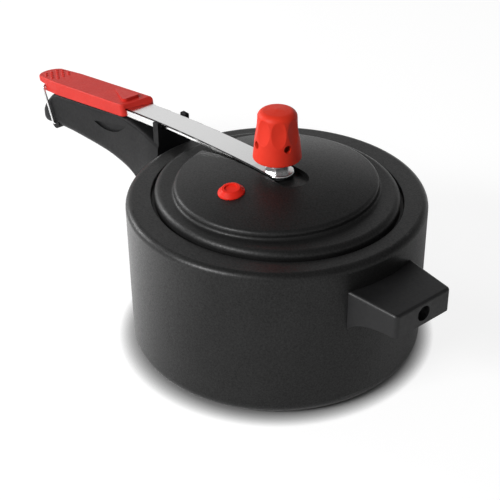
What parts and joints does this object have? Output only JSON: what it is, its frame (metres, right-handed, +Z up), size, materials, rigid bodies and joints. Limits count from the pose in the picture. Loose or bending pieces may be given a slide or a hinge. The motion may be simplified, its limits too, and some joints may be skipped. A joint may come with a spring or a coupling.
{
  "type": "stovetop pressure cooker",
  "caption": "Round matte black stovetop pressure cooker with an oval inner-closing lid, sprung lever with red grip held by a wire bail, red regulator weight and block helper handle.",
  "frame": {"origin": "centre of the pot's flat underside", "axes": "+Z up along the pot's axis, -X along the long handle, +X along the helper handle"},
  "size_m": [0.4542, 0.22, 0.1852],
  "materials": {
    "pot_coating": "fine-grained matte black non-stick coating on aluminium",
    "lid_coating": "fine-grained matte black non-stick coating on aluminium",
    "handle_plastic": "black phenolic moulding, satin",
    "cast_aluminium": "bare, cast",
    "rivet_aluminium": "bare, pressed",
    "screw_steel": "zinc plated",
    "bright_wire": "drawn stainless wire",
    "bright_strip": "polished stainless leaf, faint lengthwise grain",
    "red_grip": "satin red moulding",
    "red_cap": "satin red moulding",
    "red_silicone": "smooth silicone",
    "grey_rubber": "smooth nitrile",
    "vent_metal": "turned, satin",
    "core_metal": "turned"
  },
  "bodies": {
    "pot": {"pot_body": "pot_coating", "long_handle": "handle_plastic", "handle_bracket": "cast_aluminium", "bracket_rivets": "rivet_aluminium", "handle_screw": "screw_steel", "helper_handle": "handle_plastic", "helper_bracket": "cast_aluminium", "helper_rivets": "rivet_aluminium", "helper_screw": "screw_steel"},
    "bail": {"bail_wire": "bright_wire"},
    "lid_assembly": {"lid": "lid_coating", "lid_gasket": "grey_rubber", "safety_valve": "red_silicone", "lever_strip": "bright_strip", "lid_grip": "red_grip", "grip_rivets": "screw_steel", "strip_spacer": "screw_steel", "vent_body": "vent_metal", "vent_seal": "red_silicone", "vent_washer": "screw_steel", "vent_nut": "vent_metal"},
    "weight": {"weight_cap": "red_cap", "weight_core": "core_metal"}
  },
  "joints": [
    {"name": "bail_swing", "type": "hinge", "parent": "pot", "child": "bail", "pos_m": [-0.27899, 0, 0.075], "axis": [0, -1, 0], "range_deg": [0, 150]},
    {"name": "lever_release", "type": "hinge", "parent": "pot", "child": "lid_assembly", "pos_m": [-0.125, 0, 0.12623], "axis": [0, 1, 0], "range_deg": [0, 4.5]},
    {"name": "weight_lift", "type": "slide", "parent": "lid_assembly", "child": "weight", "axis": [0, 0, 1], "range_m": [0, 0.03]}
  ],
  "couplings": [
    {"joint": "lever_release", "follows": "bail_swing", "ratio": 0.03}
  ]
}
